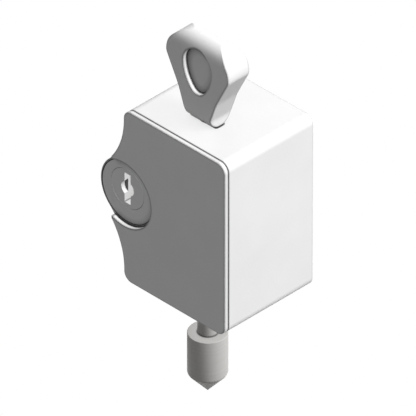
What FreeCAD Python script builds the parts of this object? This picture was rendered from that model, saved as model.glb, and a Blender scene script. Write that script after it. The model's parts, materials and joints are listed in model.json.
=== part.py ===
"""Keyed bolt lock: a die-cast case with a spring-loaded bolt that a knob on top lifts, and a key
cylinder in an ear at the side whose cam blocks the bolt.

Millimetres. The origin is the middle of the flat back, which is screwed to a door or panel.
X is to the right, Y to the back (the front looks along -Y) and Z up. The bolt is shown shot,
the key slot upright, which is unlocked.
"""
import FreeCAD, Part
import math
import os

# Case and cover
case_width = 43.6
case_height = 63.5
total_depth = 38.4                # back face to the front of the cover
cover_thickness = 1.7
corner_radius = 3.2
corner_least = 0.2                # smallest inner corner
side_flat = 0.5                   # straight side between corner and side curve
wall = 2.0
back_wall = 3.0
ear_radius = 11.75                # the ear is centred on the line of the left side
boss_radius = 12.75               # block inside the case that carries the key cylinder
boss_depth = 17.0                 # from the case's front rim
cover_tip_reach = 5.3             # how far the cover follows the side curve past the side line
rim_depth = 1.5                   # locating rim behind the cover
rim_width = 1.0
rim_clearance = 0.2
seam_chamfer = 0.2                # on both sides of the seam between case and cover
cover_edge_radius = 0.35
back_edge_radius = 0.5

# Cover screws, put in from the back
screw_inset = 5.4                 # from the sides of the case to the screw's axis
pillar_radius = 3.6
cover_post_radius = 2.8
cover_post_length = 6.0
screw_radius = 1.5
screw_clearance = 0.15
screw_head_radius = 2.75
screw_head_height = 2.4
screw_recess = 2.6
screw_recess_radius = 3.0
screw_point_gap = 0.5             # between the screw's end and the bottom of its hole
hex_radius = 1.25
hex_depth = 1.3

# Tapped holes in the back that hold the lock on its door
fixing_spacing_x = 23.0
fixing_spacing_z = 38.0
fixing_hole_radius = 2.1
fixing_hole_chamfer = 0.5
fixing_boss_radius = 4.2
fixing_boss_floor = 2.0           # metal left past the hole's end
fixing_boss_gap = 1.95            # slide plate to the bosses

# Bolt: head with a pointed end, rod, and a thin stem that carries the knob
bolt_from_front = 14.5            # bolt axis behind the front of the cover
rod_radius = 3.175
rod_exposed = 16.0
head_radius = 6.35
head_length = 16.6                # shoulder to the start of the point
head_round = 1.48
head_chamfer = 0.25               # round the shoulder
point_length = 5.6
stem_radius = 1.8
stem_in_knob = 10.0
stem_chamfer = 0.4
bolt_travel = 15.5

# Bushes, buffer and return spring
running_clearance = 0.05
flange_thickness = 1.4
top_flange_radius = 5.4
top_spigot_radius = 3.4
top_spigot_length = 1.0
bottom_flange_radius = 6.0
bottom_spigot_radius = 4.7
stem_hole_clearance = 0.1
buffer_thickness = 2.4
buffer_bore_clearance = 0.35
rest_gap = 0.3                    # between parts that come to rest on each other
spring_wire_radius = 0.4
spring_mean_radius = 3.95
spring_turns = 12
spring_closed_pitch = 1.15        # of the wire's thickness, in the end coils
spring_sides = 8
spring_steps = 16
washer_thickness = 0.5
washer_radius = 4.8
washer_bore_clearance = 0.15

# Slide block, pinned to the rod and guided at the back of the case
hub_half_width = 6.5
hub_height = 12.0
hub_front = 6.0                   # hub in front of the bolt axis
hub_edge_radius = 2.5
plate_thickness = 2.6
plate_reach = 12.2                # bolt axis to the plate's notched edge
plate_top_margin = 2.4            # plate above the upper notch
plate_corner_radius = 1.5
tongue_half_width = 2.9
tongue_end_gap = 1.0              # tongue to the back wall
guide_clearance = 0.2
guide_rib_thickness = 2.0
guide_rib_gap = 2.95              # slide plate to the ribs
guide_rib_margin = 2.2            # rib ends to the top and bottom walls
slide_pin_radius = 1.25
fit_clearance = 0.02

# Knob
knob_gap = 0.1
knob_height = 30.45
knob_thickness = 9.3
knob_top_half = 6.0               # the flat top cuts the shoulder's arc a little before its crown
knob_half_width = 13.37
knob_shoulder_radius = 8.4
knob_cheek_radius = 3.5           # under the widest place
knob_foot_half = 5.5
knob_ankle_height = 3.25          # straight sides up to here
knob_ankle_radius = 6.0
knob_waist_half = 8.22
knob_waist_height = 11.1          # where the neck opens into the flank
knob_waist_radius = 20.0
knob_bore_gap = 0.3
dimple_low = 11.2                 # lower and upper end above the knob's foot
dimple_high = 27.4
dimple_top_radius = 6.0
dimple_tip_radius = 3.3
dimple_depth = 1.6
dimple_rim_radius = 0.2

# Key cylinder
cylinder_head_radius = 11.1
cylinder_head_clearance = 0.1
cylinder_head_thickness = 3.8
cylinder_head_chamfer = 0.3
plug_offset = 1.3                 # plug axis above the middle of the head
plug_radius = 6.35
plug_face_radius = 7.1
plug_face_thickness = 1.6
plug_face_chamfer = 0.12
shell_radius = 8.0
shell_length = 20.5               # from the front face, head included
lug_half_width = 3.4
lug_bottom = 11.0                 # below the middle of the head
lug_corner_radius = 1.7
shell_clearance = 0.1
slot_width = 2.62
slot_height = 10.95
slot_end_wall = 1.1               # plug left closed behind the key slot
keyhole_radius = 2.7
keyhole_depth = 1.6
pin_count = 5
pin_radius = 1.45
pin_pitch = 3.1
first_pin = 5.4                   # from the front face
key_pin_lengths = (3.2, 4.4, 3.6, 4.9, 4.0)
driver_length = 2.5
pin_clearance = 0.03
shear_gap = 0.03
key_pin_cone = 0.85                # length of the coned end that rides on the key
key_pin_tip_radius = 0.5
pin_spring_wire = 0.2
pin_spring_turns = 4
pin_spring_sides = 6
pin_spring_steps = 10
strip_thickness = 0.8
strip_half_width = 2.2
strip_lead = 1.9                  # strip in front of the first pin's axis
grub_radius = 1.25
grub_length = 6.2
grub_seat = 1.2
grub_height = 8.0                 # below the middle of the head
grub_from_front = 10.0

# Cam, its stop and its screw
plug_tail_radius = 3.2
plug_tail_flat = 2.3
plug_tail_slack = 0.1
stop_thickness = 0.9
stop_radius = 6.2
stop_tab_radius = 7.8
stop_tab_angle = 50.0
stop_lug_inner = 6.5
stop_lug_angle_gap = 2.5
key_turn = 90.0
cam_thickness = 2.0
cam_hub_radius = 5.4
cam_half_width = 2.1
cam_reach = 12.4
cam_gap = 0.3
cam_screw_radius = 1.25
cam_screw_length = 3.3             # into the tail and the plug's closed end
cam_screw_head_radius = 2.75
cam_screw_head_height = 1.8
cam_washer_radius = 3.6
cam_washer_thickness = 0.6

# Places that follow from the sizes
half_width = case_width / 2
half_height = case_height / 2
front_y = -total_depth
rim_y = front_y + cover_thickness         # front rim of the case, back of the cover
bolt_y = front_y + bolt_from_front
ear_x = -half_width
curve_z = half_height - corner_radius - side_flat
side_radius = (curve_z ** 2 - ear_radius ** 2) / (2 * ear_radius)
floor_z = -half_height + wall
ceiling_z = half_height - wall
boss_back_y = rim_y + boss_depth
plug_z = plug_offset
shell_back_y = rim_y + shell_length
plug_back_y = shell_back_y + running_clearance
stop_y = plug_back_y + stop_thickness
cam_y = stop_y + cam_thickness
washer_y = cam_y + cam_washer_thickness
plate_back_y = cam_y + cam_gap
plate_front_y = plate_back_y - plate_thickness
fixing_boss_y = plate_back_y + fixing_boss_gap
fixing_hole_y = fixing_boss_y + fixing_boss_floor
guide_rib_y = plate_back_y + guide_rib_gap
spring_top_z = ceiling_z - flange_thickness
buffer_top_z = floor_z + flange_thickness + buffer_thickness
hub_bottom_z = buffer_top_z + rest_gap
hub_top_z = hub_bottom_z + hub_height
spring_bottom_z = hub_top_z + washer_thickness
rod_top_z = spring_top_z - bolt_travel - rest_gap
shoulder_z = -half_height - rod_exposed
knob_z = half_height + knob_gap
stem_top_z = knob_z + stem_in_knob
notch_below = cam_half_width + cam_gap    # notch under the level of the plug's axis
notch_radius = cam_reach + cam_gap
notch_half_chord = math.sqrt(notch_radius ** 2 - (half_width - plate_reach) ** 2)
plate_top_z = plug_z + notch_half_chord + plate_top_margin
past = 1.0                        # how far a cutting shape runs beyond the face that it opens
right = FreeCAD.Vector(1, 0, 0)
back = FreeCAD.Vector(0, 1, 0)
up = FreeCAD.Vector(0, 0, 1)


def point(x, y, z):
    return FreeCAD.Vector(x, y, z)


def save(name, shape):
    """Write one part, in clean faces, to its own file."""
    solid = shape.removeSplitter()
    solid.exportStep("parts/%s.step" % name)
    print("%-16s solids %d  volume %9.2f mm3  valid %s"
          % (name, len(solid.Solids), solid.Volume, solid.isValid()))


def along_y(x, z, radius, y0, y1):
    """Round bar along Y, from y0 at the front to y1 behind it."""
    return Part.makeCylinder(radius, y1 - y0, point(x, y0, z), back)


def along_z(radius, z0, z1):
    """Round bar on the bolt's axis."""
    return Part.makeCylinder(radius, z1 - z0, point(0, bolt_y, z0), up)


def tube_z(outer, inner, z0, z1):
    return along_z(outer, z0, z1).cut(along_z(inner, z0, z1))


def block(x0, x1, y0, y1, z0, z1):
    return Part.makeBox(x1 - x0, y1 - y0, z1 - z0, point(x0, y0, z0))


def prism(edges, y0, y1):
    """Fill a closed outline drawn at Y = 0 and draw it out from y0 to y1."""
    face = Part.Face(Part.Wire(Part.__sortEdges__(edges)))
    face.translate(point(0, y0, 0))
    return face.extrude(point(0, y1 - y0, 0))


def arc_about(cx, cz, radius, start, end):
    """Arc in the X-Z plane at Y = 0, angles in degrees from +X towards +Z."""
    ends = []
    for angle in (start, (start + end) / 2, end):
        turn = math.radians(angle)
        ends.append(point(cx + radius * math.cos(turn), 0, cz + radius * math.sin(turn)))
    return Part.Arc(*ends).toShape()


def join(first, second):
    """Straight edge from the end of one edge to the start of the next."""
    return Part.makeLine(first.Vertexes[-1].Point, second.Vertexes[0].Point)


def chain(arcs):
    """Close a row of arcs with straight edges wherever their ends lie apart."""
    edges = []
    for index, edge in enumerate(arcs):
        following = arcs[(index + 1) % len(arcs)]
        edges.append(edge)
        gap = edge.Vertexes[-1].Point.distanceToPoint(following.Vertexes[0].Point)
        if gap > 1e-4:
            edges.append(join(edge, following))
    return edges


def case_outline(inset):
    """Outline of case and cover moved inwards by inset: rounded corners, and on the left two
    hollow curves that run out of the corners into the round ear."""
    corner = max(corner_radius - inset, corner_least)
    near = half_width - inset - corner
    high = half_height - inset - corner
    hollow = side_radius + inset
    hollow_x = ear_x - side_radius
    sweep = math.degrees(math.atan2(curve_z, side_radius))
    return chain([
        arc_about(near, high, corner, 0, 90),
        arc_about(-near, high, corner, 90, 180),
        arc_about(hollow_x, curve_z, hollow, 0, -sweep),
        arc_about(ear_x, 0, ear_radius - inset, 180 - sweep, 180 + sweep),
        arc_about(hollow_x, -curve_z, hollow, sweep, 0),
        arc_about(-near, -high, corner, 180, 270),
        arc_about(near, -high, corner, 270, 360),
    ])


def screw_places():
    for x in (-half_width + screw_inset, half_width - screw_inset):
        for z in (-half_height + screw_inset, half_height - screw_inset):
            yield x, z


def fixing_places():
    for x in (-fixing_spacing_x / 2, fixing_spacing_x / 2):
        for z in (-fixing_spacing_z / 2, fixing_spacing_z / 2):
            yield x, z


def shell_outline(extra):
    """Section of the key cylinder behind its head: a round barrel with a lug for the pins."""
    side = lug_half_width + extra
    low = -lug_bottom - extra
    radius = shell_radius + extra
    corner = lug_corner_radius + extra
    turn = math.degrees(math.asin(side / radius))
    return chain([
        arc_about(ear_x, plug_z, radius, -90 + turn, 270 - turn),
        arc_about(ear_x - side + corner, low + corner, corner, 180, 270),
        arc_about(ear_x + side - corner, low + corner, corner, 270, 360),
    ])


def edges_at(shape, y):
    """Edges of a shape that lie in the plane at Y = y."""
    flat = [edge for edge in shape.Edges if edge.BoundBox.YLength < 1e-4]
    return [edge for edge in flat if abs(edge.BoundBox.YMin - y) < 1e-4]


def make_case():
    shape = prism(case_outline(0), rim_y, 0)
    shape = shape.makeChamfer(seam_chamfer, edges_at(shape, rim_y))
    shape = shape.makeFillet(back_edge_radius, edges_at(shape, 0))
    hollow = prism(case_outline(wall), rim_y - past, -back_wall)
    boss = along_y(ear_x, 0, boss_radius, rim_y - past, boss_back_y)
    hollow = hollow.cut(boss)
    for x, z in screw_places():
        pillar = along_y(x, z, pillar_radius, rim_y + cover_post_length, 0)
        hollow = hollow.cut(pillar)
    for x, z in fixing_places():
        hollow = hollow.cut(along_y(x, z, fixing_boss_radius, fixing_boss_y, 0))
    for side in (-1, 1):
        near = side * (tongue_half_width + guide_clearance)
        far = near + side * guide_rib_thickness
        low = floor_z + guide_rib_margin
        high = ceiling_z - guide_rib_margin
        rib = block(min(near, far), max(near, far), guide_rib_y, 0, low, high)
        hollow = hollow.cut(rib)
    shape = shape.cut(hollow)

    # Seat of the key cylinder and its grub screw
    seat_radius = cylinder_head_radius + cylinder_head_clearance
    shape = shape.cut(along_y(ear_x, 0, seat_radius, rim_y - past, rim_y + cylinder_head_thickness))
    shape = shape.cut(prism(shell_outline(shell_clearance), rim_y, boss_back_y + past))
    shape = shape.cut(grub_bar(grub_radius + fit_clearance, boss_radius))

    # Screw and fixing holes from the back, and the bolt's two holes
    for x, z in screw_places():
        shape = shape.cut(along_y(x, z, screw_radius + screw_clearance, rim_y, 0))
        shape = shape.cut(along_y(x, z, screw_recess_radius, -screw_recess, past))
    for x, z in fixing_places():
        shape = shape.cut(along_y(x, z, fixing_hole_radius, fixing_hole_y, past))
        wide = fixing_hole_radius + fixing_hole_chamfer
        place = point(x, -fixing_hole_chamfer, z)
        shape = shape.cut(Part.makeCone(fixing_hole_radius, wide, fixing_hole_chamfer, place, back))
    shape = shape.cut(along_z(bottom_spigot_radius, -half_height - past, floor_z + past))
    shape = shape.cut(along_z(stem_radius + stem_hole_clearance, ceiling_z - past, half_height + past))
    return shape.cut(along_z(top_spigot_radius, ceiling_z - past, ceiling_z + top_spigot_length))


def make_cover():
    plate = prism(case_outline(0), front_y, rim_y)
    plate = plate.makeFillet(cover_edge_radius, edges_at(plate, front_y))
    plate = plate.makeChamfer(seam_chamfer, edges_at(plate, rim_y))
    rim_back_y = rim_y + rim_depth
    rim = prism(case_outline(wall + rim_clearance), rim_y, rim_back_y)
    rim = rim.cut(prism(case_outline(wall + rim_clearance + rim_width), rim_y - past, rim_back_y + past))
    rim = rim.cut(along_y(ear_x, 0, boss_radius + rest_gap, rim_y - past, rim_back_y + past))
    shape = plate.fuse(rim)
    for x, z in screw_places():
        shape = shape.fuse(along_y(x, z, cover_post_radius, rim_y, rim_y + cover_post_length - rest_gap))
    for x, z in screw_places():
        shape = shape.cut(along_y(x, z, screw_radius, rim_y, rim_y + cover_post_length))
    shape = shape.cut(along_y(ear_x, 0, ear_radius, front_y - past, rim_back_y + past))
    tip_x = ear_x - cover_tip_reach
    beyond = block(tip_x - boss_radius, tip_x, front_y - past, rim_y + past, -boss_radius, boss_radius)
    return shape.cut(beyond)


def make_cover_screws():
    """Four socket screws that run through the case's pillars into the cover's posts."""
    screws = []
    for x, z in screw_places():
        seat = -screw_recess
        tip = rim_y + screw_point_gap
        head = along_y(x, z, screw_head_radius, seat, seat + screw_head_height)
        screw = head.fuse(along_y(x, z, screw_radius, tip, seat))
        socket = hexagon(x, z, hex_radius, seat + screw_head_height - hex_depth, 0)
        screws.append(screw.cut(socket))
    return Part.makeCompound(screws)


def hexagon(x, z, across_half, y0, y1):
    corner = across_half / math.cos(math.radians(30))
    corners = []
    for index in range(7):
        turn = math.radians(60 * index)
        corners.append(point(x + corner * math.cos(turn), 0, z + corner * math.sin(turn)))
    return prism(Part.makePolygon(corners).Edges, y0, y1)


def make_bolt():
    """Turned in one piece: stem, rod, head with a rounded lower edge, and the point."""
    edge_z = shoulder_z - head_length
    point_radius = head_radius - head_round
    outline = [
        point(head_radius, 0, edge_z + head_round),
        point(head_radius, 0, shoulder_z - head_chamfer),
        point(head_radius - head_chamfer, 0, shoulder_z),
        point(rod_radius, 0, shoulder_z),
        point(rod_radius, 0, rod_top_z),
        point(stem_radius, 0, rod_top_z),
        point(stem_radius, 0, stem_top_z - stem_chamfer),
        point(stem_radius - stem_chamfer, 0, stem_top_z),
        point(0, 0, stem_top_z),
        point(0, 0, edge_z - point_length),
        point(point_radius, 0, edge_z),
    ]
    edges = [Part.makeLine(first, second) for first, second in zip(outline, outline[1:])]
    edges.append(arc_about(point_radius, edge_z + head_round, head_round, -90, 0))
    face = Part.Face(Part.Wire(Part.__sortEdges__(edges)))
    solid = face.revolve(point(0, 0, 0), up, 360)
    solid.translate(point(0, bolt_y, 0))
    return solid.cut(slide_pin_bar(slide_pin_radius + fit_clearance))


def slide_pin_bar(radius):
    middle = (hub_bottom_z + hub_top_z) / 2
    length = 2 * hub_half_width
    return Part.makeCylinder(radius, length, point(-hub_half_width, bolt_y, middle), right)


def corner_arc(before, corner, after, radius):
    """Arc that rounds a corner between the straight lines from before and on to after."""
    coming = before - corner
    going = after - corner
    coming.normalize()
    going.normalize()
    inward = coming + going
    inward.normalize()
    half = coming.getAngle(going) / 2
    reach = radius / math.tan(half)
    middle = corner + inward * (radius / math.sin(half) - radius)
    return Part.Arc(corner + coming * reach, middle, corner + going * reach).toShape()


def knob_outline():
    """Front outline of the knob: foot, neck, flank that touches the cheek's arc, shoulder, flat top."""
    cheek_x = knob_half_width - knob_cheek_radius
    shoulder_x = knob_half_width - knob_shoulder_radius
    shoulder_turn = math.acos((knob_top_half - shoulder_x) / knob_shoulder_radius)
    widest_z = knob_z + knob_height - knob_shoulder_radius * math.sin(shoulder_turn)
    foot = point(knob_foot_half, 0, knob_z)
    ankle = point(knob_foot_half, 0, knob_z + knob_ankle_height)
    waist = point(knob_waist_half, 0, knob_z + knob_waist_height)
    away_x = cheek_x - waist.x
    away_z = widest_z - waist.z
    flank = math.atan2(away_x, away_z) + math.asin(knob_cheek_radius / math.hypot(away_x, away_z))
    cheek = arc_about(cheek_x, widest_z, knob_cheek_radius, -math.degrees(flank), 0)
    shoulder = arc_about(shoulder_x, widest_z, knob_shoulder_radius, 0, math.degrees(shoulder_turn))
    low = corner_arc(foot, ankle, waist, knob_ankle_radius)
    neck = corner_arc(ankle, waist, cheek.Vertexes[0].Point, knob_waist_radius)
    straight = Part.makeLine(foot, low.Vertexes[0].Point)
    half = [straight, low, join(low, neck), neck, join(neck, cheek), cheek, shoulder]
    top_z = knob_z + knob_height
    top = Part.makeLine(point(-knob_top_half, 0, top_z), point(knob_top_half, 0, top_z))
    bottom = Part.makeLine(point(-knob_foot_half, 0, knob_z), foot)
    return half + [edge.mirror(point(0, 0, 0), right) for edge in half] + [top, bottom]


def dimple_outline():
    """Egg shape, wide end up: a half circle, two side arcs and a smaller round tip."""
    middle = dimple_high - dimple_top_radius
    drop = middle - dimple_low - dimple_tip_radius
    spread = dimple_top_radius - dimple_tip_radius
    side = dimple_tip_radius + (spread ** 2 + drop ** 2) / (2 * spread)
    turn = math.degrees(math.atan2(drop, side - dimple_top_radius))
    high = knob_z + middle
    offset = side - dimple_top_radius
    return [
        arc_about(0, high, dimple_top_radius, 0, 180),
        arc_about(offset, high, side, 180, 180 + turn),
        arc_about(0, high - drop, dimple_tip_radius, 180 + turn, 360 - turn),
        arc_about(-offset, high, side, 360 - turn, 360),
    ]


def make_knob():
    """Flared finger knob with fully rounded foot and top, and an oval dimple in each face."""
    half = knob_thickness / 2
    flat = prism(knob_outline(), bolt_y - half, bolt_y + half)
    low = knob_z + half
    high = knob_z + knob_height - half
    section = [
        Part.Arc(point(0, bolt_y - half, low), point(0, bolt_y, knob_z), point(0, bolt_y + half, low)),
        Part.LineSegment(point(0, bolt_y + half, low), point(0, bolt_y + half, high)),
        Part.Arc(point(0, bolt_y + half, high), point(0, bolt_y, high + half), point(0, bolt_y - half, high)),
        Part.LineSegment(point(0, bolt_y - half, high), point(0, bolt_y - half, low)),
    ]
    side_face = Part.Face(Part.Wire([curve.toShape() for curve in section]))
    side_face.translate(point(-knob_height, 0, 0))
    shape = flat.common(side_face.extrude(point(2 * knob_height, 0, 0)))
    for y0 in (bolt_y - half - dimple_depth, bolt_y + half - dimple_depth):
        shape = shape.cut(prism(dimple_outline(), y0, y0 + 2 * dimple_depth))
    rims = [edge for edge in edges_at(shape, bolt_y - half) + edges_at(shape, bolt_y + half)
            if abs(edge.CenterOfMass.x) < dimple_top_radius and edge.BoundBox.ZLength > 1
            and edge.BoundBox.ZMin > knob_z + dimple_low - past]
    shape = shape.makeFillet(dimple_rim_radius, rims)
    return shape.cut(along_z(stem_radius + running_clearance, knob_z - past, stem_top_z + knob_bore_gap))


def make_slide_block():
    """Hub pinned to the rod, a plate with two notches for the cam, and a tongue at the back."""
    hub = block(-hub_half_width, hub_half_width, bolt_y - hub_front, plate_back_y, hub_bottom_z, hub_top_z)
    corners = [edge for edge in hub.Edges
               if abs(edge.BoundBox.ZLength - hub_height) < 1e-6 and edge.BoundBox.YMax < bolt_y]
    hub = hub.makeFillet(hub_edge_radius, corners)
    plate = block(-plate_reach, hub_half_width, plate_front_y, plate_back_y, hub_bottom_z, plate_top_z)
    corners = [edge for edge in plate.Edges
               if edge.BoundBox.YLength > plate_thickness / 2 and edge.BoundBox.ZMin > plug_z]
    plate = plate.makeFillet(plate_corner_radius, corners)
    tongue = block(-tongue_half_width, tongue_half_width, plate_back_y - plate_thickness / 2,
                   -back_wall - tongue_end_gap, hub_bottom_z, plate_top_z)
    shape = hub.fuse(plate).fuse(tongue)
    for drop in (0, bolt_travel):
        swing = along_y(ear_x, plug_z - drop, notch_radius, plate_front_y - past, plate_back_y + past)
        room = block(-half_width, 0, plate_front_y - past, plate_back_y + past,
                     plug_z - drop - notch_below, plug_z - drop + notch_radius)
        shape = shape.cut(swing.common(room))
    shape = shape.cut(along_z(rod_radius + fit_clearance, hub_bottom_z - past, hub_top_z + past))
    return shape.cut(slide_pin_bar(slide_pin_radius + fit_clearance))


def helix_spring(mean_radius, wire_radius, length, turns, place, sides, steps):
    """Compression spring standing on place, with one closed coil at each end.

    The wire is a many-sided section carried round in short steps, each a screw motion of the last.
    """
    rise = length - 2 * wire_radius
    closed = 2 * wire_radius * spring_closed_pitch
    open_pitch = (rise - 2 * closed) / (turns - 2)
    lean = math.atan2(open_pitch, 2 * math.pi * mean_radius)
    corners = []
    for side in range(sides + 1):
        turn = 2 * math.pi * side / sides
        across = wire_radius * math.cos(turn)
        along = wire_radius * math.sin(turn)
        corners.append(point(mean_radius + across, -along * math.sin(lean), along * math.cos(lean)))
    sections = []
    for step in range(turns * steps + 1):
        turned = step / steps
        middle = min(max(turned - 1, 0), turns - 2)
        height = closed * (turned - middle) + open_pitch * middle
        section = Part.makePolygon(corners)
        section.rotate(point(0, 0, 0), up, 360 * turned)
        section.translate(place + point(0, 0, wire_radius + height))
        sections.append(section)
    return Part.makeLoft(sections, True, True)


def make_plug():
    """Plug with its face flange, key slot, pin chambers, and a two-flat tail for the cam."""
    face = along_y(ear_x, plug_z, plug_face_radius, rim_y, rim_y + plug_face_thickness)
    face = face.makeChamfer(plug_face_chamfer, edges_at(face, rim_y))
    shape = face.fuse(along_y(ear_x, plug_z, plug_radius, rim_y, plug_back_y))
    tail = along_y(ear_x, plug_z, plug_tail_radius, plug_back_y - past, cam_y - plug_tail_slack)
    flats = block(ear_x - plug_tail_flat, ear_x + plug_tail_flat, plug_back_y - past, cam_y,
                  plug_z - plug_tail_radius, plug_z + plug_tail_radius)
    shape = shape.fuse(tail.common(flats))
    slot = block(ear_x - slot_width / 2, ear_x + slot_width / 2, rim_y - past, plug_back_y - slot_end_wall,
                 plug_z - slot_height / 2, plug_z + slot_height / 2)
    shape = shape.cut(slot)
    shape = shape.cut(along_y(ear_x, plug_z, keyhole_radius, rim_y - past, rim_y + keyhole_depth))
    for y in pin_places():
        shape = shape.cut(pin_bar(y, pin_radius + pin_clearance, -plug_radius, -slot_width / 2))
    screw_hole_y = cam_y - cam_screw_length - plug_tail_slack
    return shape.cut(along_y(ear_x, plug_z, cam_screw_radius + fit_clearance, screw_hole_y, cam_y + past))


def pin_places():
    for index in range(pin_count):
        yield rim_y + first_pin + index * pin_pitch


def pin_bar(y, radius, low, high):
    """Upright bar on a pin's axis, heights counted from the plug's axis."""
    return Part.makeCylinder(radius, high - low, point(ear_x, y, plug_z + low), up)


def make_shell():
    """Key cylinder: round head in the ear, barrel with the pin lug, and the stop at its end."""
    head_back = rim_y + cylinder_head_thickness
    shape = along_y(ear_x, 0, cylinder_head_radius, rim_y, head_back)
    shape = shape.makeChamfer(cylinder_head_chamfer, edges_at(shape, rim_y))
    shape = shape.fuse(prism(shell_outline(0), head_back, shell_back_y))
    stop = along_y(ear_x, plug_z, shell_radius, shell_back_y, stop_y - cam_gap)
    stop = stop.cut(along_y(ear_x, plug_z, stop_lug_inner, shell_back_y, stop_y))
    start = 90 + stop_tab_angle / 2 + stop_lug_angle_gap
    end = 360 + 90 - key_turn - stop_tab_angle / 2 - stop_lug_angle_gap
    shape = shape.fuse(stop.common(sector(start, end, shell_back_y, stop_y)))
    shape = shape.cut(along_y(ear_x, plug_z, plug_radius + running_clearance, rim_y - past, stop_y + past))
    shape = shape.cut(along_y(ear_x, plug_z, plug_face_radius + running_clearance, rim_y - past,
                              rim_y + plug_face_thickness + running_clearance))
    low = -lug_bottom - plug_z
    for y in pin_places():
        shape = shape.cut(pin_bar(y, pin_radius + pin_clearance, low - past, 0))
    shape = shape.cut(strip_bar(fit_clearance, low - past))
    return shape.cut(grub_bar(grub_radius, boss_radius))


def sector(start, end, y0, y1):
    """Wedge about the plug's axis between two angles."""
    reach = 2 * shell_radius
    ring = arc_about(ear_x, plug_z, reach, start, end)
    middle = point(ear_x, 0, plug_z)
    first = Part.makeLine(middle, ring.Vertexes[0].Point)
    last = Part.makeLine(ring.Vertexes[-1].Point, middle)
    return prism([first, ring, last], y0, y1)


def strip_bar(extra, low):
    """Strip that closes the pin chambers, let into the lug's underside."""
    side = strip_half_width + extra
    first = rim_y + first_pin - strip_lead - extra
    last = shell_back_y + extra
    top = -lug_bottom + strip_thickness + extra
    return block(ear_x - side, ear_x + side, first, last, plug_z + low, top)


def grub_bar(radius, reach):
    """Bar of the grub screw: through the boss from inside the case into the side of the lug."""
    tip = ear_x + lug_half_width - grub_seat
    return Part.makeCylinder(radius, ear_x + reach - tip, point(tip, rim_y + grub_from_front, -grub_height),
                             right)


def make_grub_screw():
    tip = ear_x + lug_half_width - grub_seat
    place = point(tip, rim_y + grub_from_front, -grub_height)
    return Part.makeCylinder(grub_radius, grub_length, place, right)


def make_key_pin(y, length):
    """Key pin: domed at the shear line, so that it turns with the plug, and coned at the other end."""
    shear = plug_radius - shear_gap
    cone_foot = length - key_pin_cone - shear
    body = pin_bar(y, pin_radius, -shear, cone_foot)
    body = body.common(Part.makeSphere(shear, point(ear_x, y, plug_z)))
    place = point(ear_x, y, plug_z + cone_foot)
    return body.fuse(Part.makeCone(pin_radius, key_pin_tip_radius, key_pin_cone, place, up))


def make_driver_pin(y):
    return pin_bar(y, pin_radius, -plug_radius - shear_gap - driver_length, -plug_radius - shear_gap)


def make_pin_spring(y):
    bottom = -lug_bottom + strip_thickness + fit_clearance
    top = plug_z - plug_radius - shear_gap - driver_length
    mean = pin_radius - pin_spring_wire - pin_clearance
    return helix_spring(mean, pin_spring_wire, top - bottom, pin_spring_turns, point(ear_x, y, bottom),
                        pin_spring_sides, pin_spring_steps)


def make_stop_washer():
    """Washer on the plug's tail with a tab that meets the stop at either end of the turn."""
    ring = along_y(ear_x, plug_z, stop_radius, plug_back_y, stop_y)
    tab = along_y(ear_x, plug_z, stop_tab_radius, plug_back_y, stop_y)
    tab = tab.common(sector(90 - stop_tab_angle / 2, 90 + stop_tab_angle / 2, plug_back_y, stop_y))
    return ring.fuse(tab).cut(tail_hole(plug_back_y, stop_y))


def tail_hole(y0, y1):
    hole = along_y(ear_x, plug_z, plug_tail_radius + fit_clearance, y0, y1)
    side = plug_tail_flat + fit_clearance
    return hole.common(block(ear_x - side, ear_x + side, y0, y1, plug_z - stop_radius, plug_z + stop_radius))


def make_cam():
    """Flat cam: round hub with an arm that swings from upright to level."""
    hub = along_y(ear_x, plug_z, cam_hub_radius, stop_y, cam_y)
    tip_z = plug_z + cam_reach - cam_half_width
    arm = block(ear_x - cam_half_width, ear_x + cam_half_width, stop_y, cam_y, plug_z, tip_z)
    tip = along_y(ear_x, tip_z, cam_half_width, stop_y, cam_y)
    return hub.fuse(arm).fuse(tip).cut(tail_hole(stop_y, cam_y))


def make_cam_washer():
    ring = along_y(ear_x, plug_z, cam_washer_radius, cam_y, washer_y)
    return ring.cut(along_y(ear_x, plug_z, cam_screw_radius + running_clearance, cam_y, washer_y))


def make_cam_screw():
    head = along_y(ear_x, plug_z, cam_screw_head_radius, washer_y, washer_y + cam_screw_head_height)
    shank = along_y(ear_x, plug_z, cam_screw_radius, cam_y - cam_screw_length, washer_y)
    socket = hexagon(ear_x, plug_z, hex_radius, washer_y + cam_screw_head_height - hex_depth,
                     washer_y + cam_screw_head_height + past)
    return head.fuse(shank).cut(socket)


def make_top_bush():
    flange = along_z(top_flange_radius, spring_top_z, ceiling_z)
    shape = flange.fuse(along_z(top_spigot_radius - fit_clearance, ceiling_z, ceiling_z + top_spigot_length))
    return shape.cut(along_z(stem_radius + running_clearance, spring_top_z - past, half_height))


def make_bottom_bush():
    flange = along_z(bottom_flange_radius, floor_z, floor_z + flange_thickness)
    shape = flange.fuse(along_z(bottom_spigot_radius - fit_clearance, -half_height, floor_z))
    return shape.cut(along_z(rod_radius + running_clearance, -half_height - past, ceiling_z))


def make_buffer():
    return tube_z(bottom_flange_radius, rod_radius + buffer_bore_clearance,
                  floor_z + flange_thickness, buffer_top_z)


def make_bolt_spring():
    length = spring_top_z - spring_bottom_z
    return helix_spring(spring_mean_radius, spring_wire_radius, length, spring_turns,
                        point(0, bolt_y, spring_bottom_z), spring_sides, spring_steps)


def make_spring_washer():
    return tube_z(washer_radius, rod_radius + washer_bore_clearance, hub_top_z, spring_bottom_z)


def make_strip():
    return strip_bar(0, -lug_bottom - plug_z)


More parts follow.
